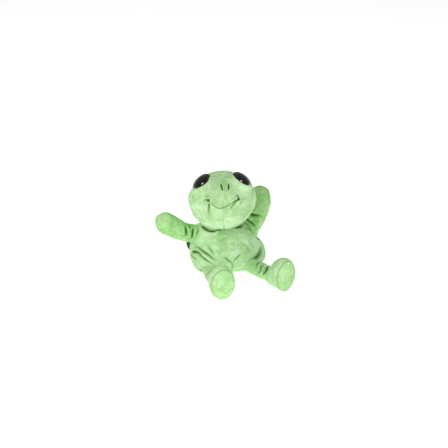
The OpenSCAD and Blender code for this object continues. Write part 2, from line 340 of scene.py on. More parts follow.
def plushPaint(name, tint, pale, deep, foldShadow):
    # brushed short pile: soft patches and nap streaks, with painted shade down in the folds and in
    # broad shaded patches
    p = Paint(name, {"Sheen Weight": 0.25, "Sheen Roughness": 0.45, "Sheen Tint": ink(pale),
                     "Specular IOR Level": 0.15})
    at = p.place()
    shade = p.attribute("shade")
    patches = p.noise(at, 38, 2)
    mottle = p.noise(at, 150, 3, 0.6)
    streaks = p.noise(p.stretched(at, 1.0, 1.0, 0.35), 420, 3, 0.65)
    pile = p.noise(at, 1500, 2, 0.7)
    light = p.between(patches * 0.45 + mottle * 0.3 + streaks * 0.25, 0.42, 0.58)
    colour = p.mix(light, ink(deep), ink(pale))
    colour = p.mix(0.45, colour, ink(tint))
    # painted shade: the deep colour where the shade attribute marks folds and shaded patches
    colour = p.mix(p.between(shade, 0.05, 0.5, 0, 0.85), colour, ink(deep))
    # painted shadow: the fold shadow colour in the deepest folds
    colour = p.mix(p.between(shade, 0.3, 0.9, 0, 0.92), colour, ink(foldShadow))
    height = mottle * 0.5 + streaks * 0.3 + pile * 0.35
    return p.done({"Base Color": colour, "Roughness": p.between(mottle, 0.3, 0.7, 0.8, 0.95),
                   "Normal": p.bump(height, 0.35, 0.0012)})


def clothPaint(name, tint, deep, weave):
    # thin woven or felted cloth, with crossing threads
    p = Paint(name, {"Sheen Weight": 0.1, "Specular IOR Level": 0.2})
    at = p.place()
    across = p.noise(p.stretched(at, 1.0, 1.0, 0.15), weave, 2)
    along = p.noise(p.stretched(at, 0.15, 0.15, 1.0), weave, 2)
    soft = p.noise(at, 90, 3)
    colour = p.mix(p.between(soft * 0.6 + across * 0.4, 0.4, 0.6), ink(deep), ink(tint))
    return p.done({"Base Color": colour, "Roughness": p.between(soft, 0.3, 0.7, 0.75, 0.95),
                   "Normal": p.bump(across + along, 0.3, 0.0006)})


paints = {
    # plush colours are tint, pale, deep and fold shadow; the deep colour is also painted shade,
    # and the fold shadow is painted shadow in the deepest folds
    "green_plush": plushPaint("green_plush", "bbe2a6", "d8f0cc", "90c679", "2c5218"),
    # the arms' plush is a darker copy of the body's plush, as painted shade
    "shaded_mitt_plush": plushPaint("shaded_mitt_plush", "a6d88b", "c4ebae", "74b85b", "2c5218"),
    "dark_green_plush": plushPaint("dark_green_plush", "2f5222", "44692f", "20400f", "122608"),
    "sole_plush": plushPaint("sole_plush", "b6e39b", "cdf0ba", "8fca76", "2c5218"),
    "lining_fabric": clothPaint("lining_fabric", "e9e5d6", "d3ccb8", 1400),
    "fibre_filling": clothPaint("fibre_filling", "f6f5f1", "dddbd4", 300),
    "eye_ring_felt": clothPaint("eye_ring_felt", "4a4037", "2a231d", 900),
    "black_thread": clothPaint("black_thread", "1c211a", "0a0d09", 2600),
    "green_thread": clothPaint("green_thread", "86b873", "629552", 2600),
}


def eyePaint():
    # polished black plastic with a brown-grey bloom on the upper, outer side
    p = Paint("eye_gloss", {"Coat Weight": 0.6, "Coat Roughness": 0.03,
                            "Specular IOR Level": 0.05})
    rim = p.attribute("shade")
    cloud = p.noise(p.place(), 160, 2)
    colour = p.mix(p.between(rim + 0.12 * cloud, 0.72, 1.05), ink("050706"), ink("2b2a22"))
    return p.done({"Base Color": colour, "Roughness": p.between(cloud, 0.3, 0.7, 0.08, 0.14)})


def washerPaint():
    p = Paint("washer_plastic", {"Specular IOR Level": 0.4})
    cloud = p.noise(p.place(), 220, 2)
    return p.done({"Base Color": p.mix(cloud, ink("b9bbb6"), ink("d7d8d3")),
                   "Roughness": p.between(cloud, 0.3, 0.7, 0.35, 0.5)})


paints["eye_gloss"] = eyePaint()
paints["washer_plastic"] = washerPaint()


def finished(piece, slot, nodes, body=None, ways=None, paint=None):
    # gives a piece its colour, hides the parts it stands for, and attaches it to its body; a piece
    # given ways has its transform baked in instead
    piece.data.materials.append(paints[paint or slot])
    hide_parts(*nodes)
    if ways:
        a, b, start, end = ways
        [x * mm for x in start]
        [x * mm for x in end]
        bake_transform(piece)
    else:
        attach(piece, body)


# The head: w is the angle out to its side, e the elevation over its face from straight ahead

headTurn, headMiddle = spin("y", -3), np.array([-13.0, -26.0, 136.0])
headWide, headTall = 56, 50    # half width, and half height and depth
neckMiddle = np.array([-11.0, 2.0])
eyePlaces = {"left": (-36.5, 82.0), "right": (37.5, 76.0)}
# (side angle, elevation, rise, spread) of each soft swell
headSwells = [(-1, 96, -1.8, 22), (-52, 24, 2.0, 22), (46, 22, 2.0, 22), (2, 46, 2.4, 16),
              (-13, 19, 1.4, 11), (-20, 64, -1.8, 12), (27, 66, -1.6, 12), (-2, -8, 1.2, 24),
              (-75, 50, 1.5, 20), (70, 50, 1.5, 20), (-30, 104, -2.0, 16), (30, 104, -2.0, 16)]


# the rim of fabric round an eye
lip = {"r": 17.0, "rise": 4.4, "front": 6.2, "steep": 3.4, "gentle": 3.0}


def onHead(w, e, off=0.0):
    w, e = np.broadcast_arrays(np.radians(w), np.radians(e))
    p = np.stack([(headWide - off) * np.sin(w), (off - headTall) * np.cos(w) * np.cos(e),
                  (headTall - off) * np.cos(w) * np.sin(e)], -1)
    return p @ headTurn.T + headMiddle


def headForm(w, e, off=0.0):
    # the plain head, with its swells and a fabric rim that stands up round each eye
    p = onHead(w, e, off)
    out = (p - headMiddle) / np.array([headWide, headTall, headTall]) ** 2
    out /= np.linalg.norm(out, axis=-1, keepdims=True)
    rise = 0.0
    for sideways, up, height, spread in headSwells:
        rise = rise + height * hump(np.linalg.norm(p - onHead(sideways, up), axis=-1), 0, spread)
    for place in eyePlaces.values():
        away = p - onHead(*place)
        d = np.linalg.norm(away, axis=-1)
        forward = -away[..., 1] / (d + 1e-6)
        # steep towards the eye, gentle towards the face, and highest in front
        slope = np.where(d < lip["r"], 0, lip["gentle"] * np.maximum(forward, 0))
        spread = lip["steep"] + slope
        rise = rise + (lip["rise"] + lip["front"] * forward) * hump(d, lip["r"], spread)
    return p + out * rise[..., None]


def headLine(keys):
    return headForm(*smoothKeys(keys))


w = np.linspace(-89, 89, 150)
e = evenly(-130, 230, 231, 35, 75, 1.6)[-1:0:-1]
headGrid = headForm(w[:, None], e[None])
headShade = np.zeros(headGrid.shape[:2])
# keys as (side angle, elevation); then depth, width, where it fades
headFolds = [
    ([(3, 76), (1, 62), (2, 53), (1, 45), (0, 34), (-2, 21), (-4, 8), (-3, -40), (-1, -80),
      (0, -118)], 1.0, 1.1, "none"),
    ([(-19, 82), (-12, 86), (-4, 85), (4, 82), (12, 77), (20, 71)], 1.7, 1.6, "both"),
    ([(-1, 86), (0, 110), (1, 150)], 0.9, 1.1, "none"),
    ([(-86, 150), (-40, 150), (0, 150), (40, 150), (86, 150)], 1.1, 1.2, "none"),
    ([(-28, 30), (-24, 25), (-20, 19), (-15, 14), (-9, 12), (-3, 13), (4, 16), (10, 19),
      (17, 22), (24, 26)], 1.1, 1.2, "none"),
    ([(-28, 30), (-32, 31), (-38, 33)], 3.0, 1.5, "far"),
    ([(-29, 29), (-36, 23), (-43, 18)], 1.2, 1.7, "far"),
    ([(-28, 30), (-28, 21), (-29, 13), (-30, 2), (-29, -9)], 3.4, 1.6, "far"),
    ([(24, 26), (23, 32), (24, 38)], 3.0, 1.5, "far"),
    ([(24, 26), (17, 21), (14, 16), (10, 11), (5, 6)], 3.2, 1.6, "far"),
    ([(24, 26), (32, 25)], 2.6, 1.5, "far"),
    ([(24, 26), (31, 14)], 2.4, 1.6, "far"),
    ([(-3, 59), (-3, 52), (-2, 45)], 1.1, 1.3, "both"),
    ([(10, 58), (9, 51), (8, 45)], 1.1, 1.3, "both"),
]
# painted shade patches over the brow and the top of the nose, and on the face's right side
paintShadePatches(headGrid, headShade, onHead, [(-6, 70, 0.24, 15), (9, 60, 0.2, 12), (52, 40, 0.14, 16)])
headOut = gridNormals(headGrid)
for keys, deep, wide, ends in headFolds:
    headGrid = crease(headGrid, headOut, headShade, headLine(keys), deep, wide, ends)
dimples = ((-28, 30), (24, 26))
for at in dimples:
    headGrid = dimple(headGrid, headOut, headShade, headForm(*at), 3.8, 2.6)
headGrid = headGrid + gridNormals(headGrid) * (0.35 * lumps(headGrid, 26, 5))[..., None]
fromNeck = np.linalg.norm(headGrid[..., :2] - neckMiddle, axis=-1)
headSkin = skin("headSkin", headGrid, headShade, closeLow=True, closeHigh=True,
                drop=(fromNeck < 16) & (headGrid[..., 2] < headMiddle[2]))
thicken(headSkin, 1.4)
finished(headSkin, "green_plush",
         ["left_face_panel", "right_face_panel", "crown_panel", "head_back_panel"],
         body="head")
headTree = BVHTree.FromPolygons(headGrid.reshape(-1, 3).tolist(),
                                quads(*headGrid.shape[:2]).tolist())
print("head skin", len(headSkin.data.polygons))


def resting(keys, lift, steps=26):
    # the line through the keys, laid on the finished head
    found = [headTree.find_nearest(q) for q in headForm(*smoothKeys(keys, steps))]
    up = np.array([f[1] for f in found])
    return np.array([f[0] for f in found]) + lift * up, up


def stitches(name, lines, radius, slot, node):
    groups = []
    for keys in lines:
        path, up = resting(keys, radius * 0.35)
        groups.append(cordRings(path, radius, up))
    finished(cords(name, groups), slot, [node], body="head")


stitches("nostrilStitches", [headFolds[-2][0], headFolds[-1][0]], 1.0, "black_thread",
         "nostril_stitches")
stitches("mouthStitch", [headFolds[4][0]], 0.55, "green_thread", "mouth_stitch")
stitches("dimpleThreads", [[(a, e0 - 4), (a + 0.5, e0), (a, e0 + 4)]
                           for a, e0 in dimples], 0.6, "green_thread", "dimple_threads")

sphere = onHead(np.linspace(-86, 86, 48)[:, None],
                np.linspace(360, 0, 72, endpoint=False)[None], 6.5)
sphere = sphere - gridNormals(sphere) * (0.9 + 0.9 * lumps(sphere, 24, 8))[..., None]
headStuffing = skin("headStuffing", sphere, closeLow=True, closeHigh=True,
                    drop=(np.linalg.norm(sphere[..., :2] - neckMiddle, axis=-1) < 13)
                    & (sphere[..., 2] < headMiddle[2]))
thicken(headStuffing, 2.5)
finished(headStuffing, "fibre_filling", ["head_stuffing"], body="head")

pocketProfile = [(8.9, 0), (10, 0.2), (10, 43), (9.2, 45.6), (6, 47), (0.6, 47), (0.6, 45.9),
                 (5.6, 45.9), (8.4, 44.8), (9, 42.6), (8.95, 20)]
pocket = lathe("headFingerPocket", pocketProfile, [*neckMiddle, 88], np.eye(3), both=True)
finished(pocket, "lining_fabric", ["head_finger_pocket"], body="head")

eyes = {"r": 15, "base": 1.4, "dome": 4.3, "sunk": 1.2}
for word, (eyeSide, eyeUp) in eyePlaces.items():
    # the eye's own z points straight out of the head
    lean = math.degrees(math.atan2(math.sin(math.radians(eyeSide)) / headWide,
                                   math.cos(math.radians(eyeSide)) / headTall))
    turn = headTurn @ spin("x", 90 - eyeUp) @ spin("y", lean)
    # each eye is pulled a little into the stuffing by its shank
    at = onHead(eyeSide, eyeUp, eyes["sunk"])
    dome = np.radians(np.linspace(0, 90, 26))
    profile = [(2.4, -7.5), (2.4, 0.2), (14.0, 0.3), (14.9, 0.9)]
    profile += [(eyes["r"] * math.sin(x), eyes["base"] + eyes["dome"] * math.cos(x))
                for x in dome[:0:-1]] + [(0.4, 5.7)]
    eye = lathe(word + "Eye", profile, at, turn, [r / eyes["r"] for r, z in profile], sides=72)
    finished(eye, "eye_gloss", [word + "_eye"], body="head")
    ring = [(17.0 + 1.0 * math.cos(x), 1.0 + 1.3 * math.sin(x))
            for x in np.radians(np.arange(0, 360, 30))]
    # rounded outside and straight inside
    ring = [(r if r > 16.9 else 14.6, z) for r, z in ring]
    finished(lathe(word + "EyeRing", ring, at, turn, sides=72, both=True),
             "eye_ring_felt", [word + "_eye_ring"], body="head")
    washer = [(2.5, -5.4), (5.9, -5.4), (6.5, -4.9), (6.3, -4.2), (2.5, -4.1)]
    finished(lathe(word + "EyeWasher", washer, at, turn, sides=40, both=True),
             "washer_plastic", [word + "_eye_washer"], body="head")
print("head fittings")


# The glove body: u is the angle round it and k the angle above its widest ring

bodyWide, bodyDeep, bodyTall, bellyHeight, bodyLean = 64, 53, 46, 28, 0.15
neckStart = 62    # above this k the body is the neck
# (k, height, half width, half depth, middle's x, middle's y) as the body gathers into the neck
neckKeys = np.array([(62, 68.6, 30.0, 24.9, -10.3, 0.0), (70, 72.6, 23.0, 19.6, -10.7, 0.5),
                     (76, 74.4, 18.6, 16.9, -11.0, 1.2), (82, 76.4, 16.0, 15.3, -11.0, 1.8),
                     (90, 80.0, 14.9, 14.7, -11.0, 2.0), (100, 85.0, 14.4, 14.4, -11.0, 2.0)])
hemAngle = -math.degrees(math.asin(bellyHeight / bodyTall))
# (angle round, angle up, rise, spread)
bodySwells = [(-88, 58, 6.5, 21), (-150, -30, 7.5, 20), (178, 14, -6.5, 20), (180, 56, 7.0, 15),
              (148, 46, 6.0, 17), (32, 46, 5.0, 16), (8, 52, 3.0, 13), (5, 28, -2.5, 14),
              (-8, -8, 3.5, 18), (-84, -2, 1.4, 26)]


def onBody(u, k, off=0.0):
    u, k = np.broadcast_arrays(np.radians(u), np.asarray(k, float))
    low, atNeck = np.radians(np.minimum(k, neckStart)), k > neckStart
    neck = [throughKeys(neckKeys[:, [0, i]], np.maximum(k, neckStart)) for i in range(1, 6)]
    z = np.where(atNeck, neck[0] - 0.6 * off, bellyHeight + (bodyTall - off) * np.sin(low))
    z = np.where(k <= hemAngle + 1e-6, 0, z)
    # the front of the hem is tucked in under the belly
    tuck = 1 - 0.2 * (np.minimum(k, 0) / hemAngle) ** 2 * (np.sin(u) < 0)
    rx = np.where(atNeck, neck[1] - off, (bodyWide - off) * np.cos(low))
    ry = np.where(atNeck, neck[2] - off, (bodyDeep - off) * np.cos(low))
    x = np.where(atNeck, neck[3], -bodyLean * z) + rx * np.cos(u)
    return np.stack([x, np.where(atNeck, neck[4], 0) + ry * np.sin(u) * tuck, z], -1)


def bodyOut(p):
    # the outward direction of the rounded form, level from the neck up
    q = np.stack([(p[..., 0] + bodyLean * p[..., 2]) / bodyWide ** 2, p[..., 1] / bodyDeep ** 2,
                  np.clip(p[..., 2] - bellyHeight, -40, 40) / bodyTall ** 2], -1)
    return q / np.linalg.norm(q, axis=-1, keepdims=True)


def bodyForm(u, k, off=0.0):
    p = onBody(u, k, off)
    rise = 0.0
    for angle, up, height, spread in bodySwells:
        rise = rise + height * hump(np.linalg.norm(p - onBody(angle, up), axis=-1), 0, spread)
    # the cloth gathers in soft pleats where it runs into the neck
    a = np.radians(u)
    pleats = np.cos(13 * a + 1.1 * np.sin(3 * a) + 0.7) + 0.5 * np.cos(7 * a + 2.0)
    rise = rise * (1 - smooth(k, 66, 80)) * smooth(k, hemAngle, hemAngle + 6)
    rise = rise + 0.55 * pleats * smooth(k, 48, 74) * (1 - smooth(k, 84, 98))
    p = p + bodyOut(p) * rise[..., None]
    p[..., 2] = np.maximum(p[..., 2], np.where(k <= hemAngle + 1e-6, 0, 0.2))
    return p


def bodyLine(keys):
    return bodyForm(*smoothKeys(keys))


arms = {
    "left": (pivotOf("left_shoulder"), spin("y", -56)),
    "right": (pivotOf("right_shoulder"), spin("y", 5) @ spin("x", -16)),
}
legs = {
    "left": (pivotOf("left_hip"), spin("z", 11) @ spin("x", 90)),
    "right": (pivotOf("right_hip"), spin("z", 36) @ spin("x", 90)),
}


def nearArm(p):
    # points on the way that a finger takes into an arm
    near = np.zeros(p.shape[:-1], bool)
    for pivot, turn in arms.values():
        near |= distanceTo(p, [pivot, pivot - 42 * turn[:, 2]])[0] < 8.6
    return near


u = np.linspace(-180, 180, 210, endpoint=False)
k = np.concatenate([np.linspace(hemAngle, 61, 96), np.linspace(62, 100, 34)])
bodyGrid = bodyForm(u[None], k[:, None])
bodyShade = np.zeros(bodyGrid.shape[:2])
bodyFolds = [
    ([(-88, -35), (-86, -5), (-87, 6), (-88, 17)], 1.7, 1.5, "both"),
    ([(-86, -2), (-92, 9), (-97, 16)], 2.2, 1.8, "both"),
    ([(-85, 2), (-78, 10), (-65, 20)], 1.8, 2.0, "both"),
    ([(-166, 4), (-149, 15), (-134, 14)], 3.2, 2.4, "both"),
    ([(-170, 1), (-153, 3), (-140, -1)], 2.0, 2.4, "both"),
    ([(-152, 29), (-135, 23), (-121, 16), (-109, 5)], 2.4, 2.7, "both"),
    ([(-144, 17), (-130, 7), (-116, -2)], 2.4, 2.6, "both"),
    ([(-128, 38), (-116, 25), (-111, 15)], 1.7, 2.8, "both"),
    ([(-152, -31), (-128, -20), (-108, -20)], 3.0, 2.6, "both"),
    ([(-179, 61), (-154, 64), (-128, 67), (-106, 72), (-57, 74), (-27, 70), (2, 61)],
     2.8, 2.8, "none"),
    ([(-16, 12), (-34, 0), (-50, -7), (-64, -12)], 2.6, 7.0, "both"),
    ([(-6, 56), (-2, 46), (1, 35)], 1.8, 1.8, "both"),
    ([(-112, 38), (-97, 48), (-76, 51)], 1.2, 3.4, "both"),
    ([(-58, 40), (-52, 24), (-53, 8)], 1.2, 3.6, "both"),
    ([(180, 68), (180, 20), (180, -37)], 0.8, 1.0, "none"),
    ([(0, 68), (0, 20), (0, -37)], 0.8, 1.0, "none"),
]
# painted shade patches: the right flank and hip, low on the belly near the legs, the left flank,
# and by the right arm's root
paintShadePatches(bodyGrid, bodyShade, onBody, [
    (-10, -8, 0.42, 16), (-28, -24, 0.34, 17), (-137, -32, 0.34, 15), (-112, -36, 0.3, 12),
    (-160, -14, 0.2, 14), (-4, 40, 0.16, 13)])
bodyNormal = gridNormals(bodyGrid)
for keys, deep, wide, ends in bodyFolds:
    bodyGrid = crease(bodyGrid, bodyNormal, bodyShade, bodyLine(keys), deep, wide, ends)
calm = smooth(bodyGrid[..., 2], 0, 12)
bodyGrid = bodyGrid + bodyNormal * (0.9 * calm * lumps(bodyGrid, 34, 11))[..., None]
bodyGrid[..., 2] = np.maximum(bodyGrid[..., 2], 0)
bodySkin = skin("bodySkin", bodyGrid, bodyShade, drop=nearArm(bodyGrid))
thicken(bodySkin, 2.2)
finished(bodySkin, "green_plush", ["body_front", "body_back"],
         ways=("torso", "neck", (*neckMiddle, 64), (*neckMiddle, 80)))
print("body skin", len(bodySkin.data.polygons))

rows = np.concatenate([np.linspace(hemAngle, 62, 40), np.linspace(64, 100, 12)])
inside = bodyForm(np.linspace(-180, 180, 120, endpoint=False)[None], rows[:, None],
                  3.6 + 1.2 * smooth(rows, 48, 60)[:, None])
inside = inside - bodyOut(inside) * (0.5 + 0.3 * lumps(inside, 30, 3))[..., None] * smooth(
    inside[..., 2], 0, 10)[..., None]
gloveLining = skin("gloveLining", inside, drop=nearArm(inside))
thicken(gloveLining, 0.8)
finished(gloveLining, "lining_fabric", ["glove_lining"], body="torso")

# the band's section is a flat loop, from its outer foot up and over to its inner foot
bandRows = [(4.7, hemAngle), (4.7, -35), (4.7, -30), (5.0, -28.6), (5.6, -28.6), (5.9, -30),
            (5.9, -35), (5.9, hemAngle)]
band = np.stack([onBody(np.linspace(-180, 180, 120, endpoint=False), up, off)
                 for off, up in bandRows])
finished(skin("hemBand", band, both=True), "dark_green_plush", ["hem_band"], body="torso")


def neckTop(a, radius):
    # a ring on the plain head's underside, straight above the neck
    xy = neckMiddle + radius * np.stack([np.cos(a), np.sin(a)], -1)
    q = ((xy - headMiddle[:2]) / np.array([headWide, headTall])) ** 2
    z = headMiddle[2] - headTall * np.sqrt(1 - q.sum(-1))
    return np.concatenate([xy, z[..., None]], -1)


a = np.linspace(-math.pi, math.pi, 120, endpoint=False)
pleats = (np.cos(12 * a + 0.9 * np.sin(2 * a)) + 0.5 * np.cos(19 * a))[:, None]
top = neckTop(a, 18.6) + [0, 0, 3.0]
foot = np.stack([neckMiddle[0] + 14.6 * np.cos(a), neckMiddle[1] + 14.6 * np.sin(a),
                 82 + 0 * a], -1)
out = np.stack([np.cos(a), np.sin(a), 0 * a], -1)
neckRows = []
for t in np.linspace(0, 1, 24):
    bulge = 2.4 * math.sin(math.pi * min(1, t * 1.15)) + 0.5 * pleats * math.sin(math.pi * t)
    neckRows.append(foot * (1 - t) + top * t + out * bulge - [0, 0, 2.4 * math.sin(math.pi * t)
                                                             * (t < 0.5)])
# painted shade at the collar's foot, where it runs into the body
neckSkirt = skin("neckSkirt", np.stack(neckRows), np.repeat(
    hump(np.linspace(0, 1, 24), 0, 0.16)[:, None] * 0.5, 120, 1))
thicken(neckSkirt, 1.4)
finished(neckSkirt, "green_plush", ["neck_collar"],
         ways=("neck", "head", (*neckMiddle, 82), (*neckMiddle, 92)))

# The back shell: a pillow over a rounded-square patch, from its middle out and round its edge

# angle round the body and angle up of its middle, and half its size in both
shell = {"u": 96, "k": 2, "across": 67, "up": 33, "corner": 0.85}


def onShell(share, a, off):
    # share 0 is the middle and 1 the edge; corners are rounded by a power below 1
    c, s = np.cos(a), np.sin(a)
    u = shell["u"] + shell["across"] * share * np.sign(c) * np.abs(c) ** shell["corner"]
    k = shell["k"] + shell["up"] * share * np.sign(s) * np.abs(s) ** shell["corner"]
    p = bodyForm(u, k)
    return p + bodyOut(p) * np.asarray(off)[..., None]


def pillow(share, edge, swell):
    # height at a share of the way out: the edge plus swell times the root of 1 - share ^ 2.4
    return edge + swell * np.sqrt(np.clip(1 - share ** 2.4, 0, 1))


share = np.concatenate([np.linspace(0.02, 0.96, 46), 0.96 + 0.04 * np.sin(
    np.linspace(0.3, 1.5, 5)), np.linspace(1, 0.05, 22)])
outside = np.concatenate([np.ones(49), np.zeros(24)])
a = np.linspace(0, 2 * math.pi, 150, endpoint=False)
height = np.where(outside, pillow(share, 2.6, 8.2), 1.1)
shellGrid = onShell(share[:, None], a[None], height[:, None] + 0 * a)
shellShade = np.zeros(shellGrid.shape[:2])
shellNormal = gridNormals(shellGrid)
front = outside[:, None] > 0
rim = onShell(0.9, np.linspace(0, 2 * math.pi, 90), pillow(0.9, 2.6, 8.2) + np.zeros(90))
along = np.linspace(-0.9, 0.9, 30)
spine = onShell(np.abs(along), np.where(along < 0, -1, 1) * math.pi / 2,
                pillow(np.abs(along), 2.6, 8.2))
# the rim and spine seams are carved in, with painted shade down in them
carved = crease(shellGrid, shellNormal, shellShade, rim, 1.1, 1.3, "none")
carved = crease(carved, shellNormal, shellShade, spine, 1.1, 1.3, "both")
shellGrid = np.where(front[..., None], carved, shellGrid)
shellGrid = shellGrid + shellNormal * (0.5 * front * lumps(shellGrid, 26, 21))[..., None]
shellCover = skin("shellCover", shellGrid, shellShade, closeLow=True, closeHigh=True)
finished(shellCover, "dark_green_plush", ["shell_cover"], body="torso")
fat = np.where(outside, pillow(share, 2.0, 6.0), 1.7)
padGrid = onShell(0.9 * share[:, None], a[None], fat[:, None] + 0 * a)
finished(skin("shellPadding", padGrid, closeLow=True, closeHigh=True), "fibre_filling",
         ["shell_padding"], body="torso")
print("shell")


# Limbs: s runs out along the limb's own z from its pivot, a goes round it

def inBody(p, depth):
    q = [(p[..., 0] + bodyLean * p[..., 2]) / (bodyWide - depth), p[..., 1] / (bodyDeep - depth),
         (p[..., 2] - bellyHeight) / (bodyTall - depth)]
    return sum(x * x for x in q) < 1


def limbForm(keys, frameOf, s, a):
    # keys are (s, half width, half thickness, middle's x, middle's y); s and a are grids
    pivot, turn = frameOf
    rx, ry, mx, my = [throughKeys([(key[0], key[i]) for key in keys], s) for i in (1, 2, 3, 4)]
    p = np.stack([rx * np.cos(a) + mx, ry * np.sin(a) + my, s], -1)
    return p @ turn.T + pivot


def rootOf(keys, frameOf, a, depth, floor):
    # how far back along the limb each of its lengthwise lines meets the body
    s = np.full(a.shape, 4.0)
    for _ in range(80):
        outsideYet = ~inBody(limbForm(keys, frameOf, s, a), depth) & (s > floor)
        s = s - 0.5 * outsideYet
    return s


def limbGrid(keys, frameOf, rows, cols, depth, floor, settled):
    # rows from the body to the limb's end; they even out to flat rings by s = settled
    a = np.linspace(0, 2 * math.pi, cols, endpoint=False)
    root = rootOf(keys, frameOf, a, depth, floor)
    low = root.mean()
    s = np.concatenate([np.linspace(low, rows[0], 34)[:-1], rows])
    s = s[:, None] + (root - low)[None] * (1 - smooth(s, low, settled))[:, None]
    a = np.broadcast_to(a, s.shape)
    return limbForm(keys, frameOf, s, a), s, a


def limbLine(keys, frameOf, line, steps=26):
    # a line over a limb through keys of (angle in degrees, s)
    a, s = smoothKeys(line, steps)
    return limbForm(keys, frameOf, s, np.radians(a))


def withTip(keys, length):
    # rounds off a limb past its last key by the curve (1 - x squared) to the power 0.6
    s, rx, ry, mx, my = keys[-1]
    x = np.sin(np.radians(np.linspace(4, 88, 14)))
    return keys + [(s + length * v, rx * (1 - v * v) ** 0.6, ry * (1 - v * v) ** 0.6,
                    mx + 1.2 * v, my) for v in x]


armKeys = {
    "left": withTip([(-40, 13, 12, 7, 0), (-18, 14.5, 13, 7, 0), (-6, 16.5, 14, 7.5, 0),
                     (0, 16.5, 14, 5.5, 0), (7, 16.2, 13.6, 3.2, 0), (14, 16.6, 13.8, 1.6, 0),
                     (24, 17.4, 15, 1.0, 0), (34, 18.2, 16.2, 1.0, 0), (44, 17.8, 16.2, 1.6, 0)],
                    19.2),
    "right": withTip([(-40, 8.5, 9, -3.5, 0), (-11, 8.8, 9.5, -3.3, 0), (-2, 11.8, 11.3, -1.2, 0),
                      (8, 17.5, 13.5, -2.0, 0), (15, 18.6, 14.4, -0.8, 0), (22, 19, 15, 1, 0),
                      (36, 20.1, 16.6, 3, 0), (48, 20, 16.4, 3, 0)], 19.5),
}
armFolds = {
    "left": [([(338, 14), (318, 12), (300, 9), (284, 7), (262, 4)], 3.2, 1.8, "both"),
             ([(356, 9), (342, 7), (322, 5)], 2.8, 1.9, "both"),
             ([(340, 1), (322, -0.5), (305, -1), (284, -3), (250, -7)], 3.4, 1.9, "both"),
             ([(335, -7), (318, -9), (300, -9), (280, -11)], 2.0, 1.8, "both"),
             ([(60, 6), (90, 3), (120, 7), (150, 4)], 1.5, 1.8, "both")],
    "right": [([(175, 20), (210, 20.5), (245, 19), (290, 18)], 3.6, 2.2, "both"),
              ([(175, 15), (212, 10), (242, 4), (264, -3)], 3.6, 2.2, "both"),
              ([(230, 13), (262, 9), (290, 9)], 1.0, 1.8, "both"),
              ([(60, 8), (90, 4), (120, 7), (150, 3)], 1.5, 1.8, "both")],
}
for word, frameOf in arms.items():
    keysOf = armKeys[word]
    last = keysOf[-1][0]
    start = 44 if word == "left" else 48
    armRows = np.concatenate([np.linspace(6, start, 46)[:-1], start + (last - start)
                              * np.sin(np.radians(np.linspace(0, 90, 30)))])
    grid, s, a = limbGrid(keysOf, frameOf, armRows, 96, 3.4, -36, 12)
    shade = np.zeros(grid.shape[:2])
    normal = gridNormals(grid)
    # soft lengthwise gathers near the shoulder
    gathers = 0.55 * np.cos(9 * a + 1.5 * np.sin(2 * a)) * hump(s, 3, 11)
    grid = grid + normal * gathers[..., None]
    for keys, deep, wide, ends in armFolds[word]:
        grid = crease(grid, normal, shade, limbLine(keysOf, frameOf, keys), deep, wide, ends)
    # the seam runs along both edges of the mitt and over its tip
    over = np.abs(grid @ frameOf[1][:, 1] - frameOf[0] @ frameOf[1][:, 1])
    seam = hump(over, 0, 0.9) * smooth(s, 12, 24)
    grid = grid + normal * (0.5 * hump(over, 2.6, 1.6) * smooth(s, 12, 24) - 0.9 * seam)[..., None]
    # painted shade in the seam's groove
    shade = np.maximum(shade, 0.3 * seam)
    grid = grid + normal * (0.5 * lumps(grid, 24, 31) * smooth(s, 8, 20))[..., None]
    piece = skin(word + "ArmSkin", grid, shade, closeHigh=True)
    pivot, turn = frameOf
    # the arms take the darker plush copy: painted shade
    finished(piece, "green_plush", [word + "_arm_skin"], paint="shaded_mitt_plush",
             ways=("torso", word + "_arm", pivot - 9 * turn[:, 2], pivot + 9 * turn[:, 2]))
    # the stuffing is a cup round the sleeve: up its bore, over its lip and on to the tip
    a = np.linspace(0, 2 * math.pi, 64, endpoint=False)
    bore = [(z, 8.3, 8.3, 0, 0) for z in (35.5, 30, 24, 18)]
    slim = [(z, x - 3.4, y - 3.4, mx, my) for z, x, y, mx, my in keysOf if z > 16 and x > 5]
    cup = np.stack([pivot + np.stack([x * np.cos(a) + mx, y * np.sin(a) + my, z + 0 * a], -1)
                    @ turn.T for z, x, y, mx, my in bore + slim])
    cup = cup - gridNormals(cup) * (0.4 + 0.4 * lumps(cup, 14, 4))[..., None]
    finished(skin(word + "MittStuffing", cup, closeLow=True, closeHigh=True), "fibre_filling",
             [word + "_mitt_stuffing"], body=word + "_arm")
    tube = [(6.9, 0), (7.9, 0.1), (8, 31), (7, 33.3), (3, 34), (0.5, 34), (0.5, 33), (3, 33),
            (6.2, 32.3), (7, 30)]
    finished(lathe(word + "FingerSleeve", tube, pivot, turn, both=True), "lining_fabric",
             [word + "_finger_sleeve"], body=word + "_arm")
print("arms")

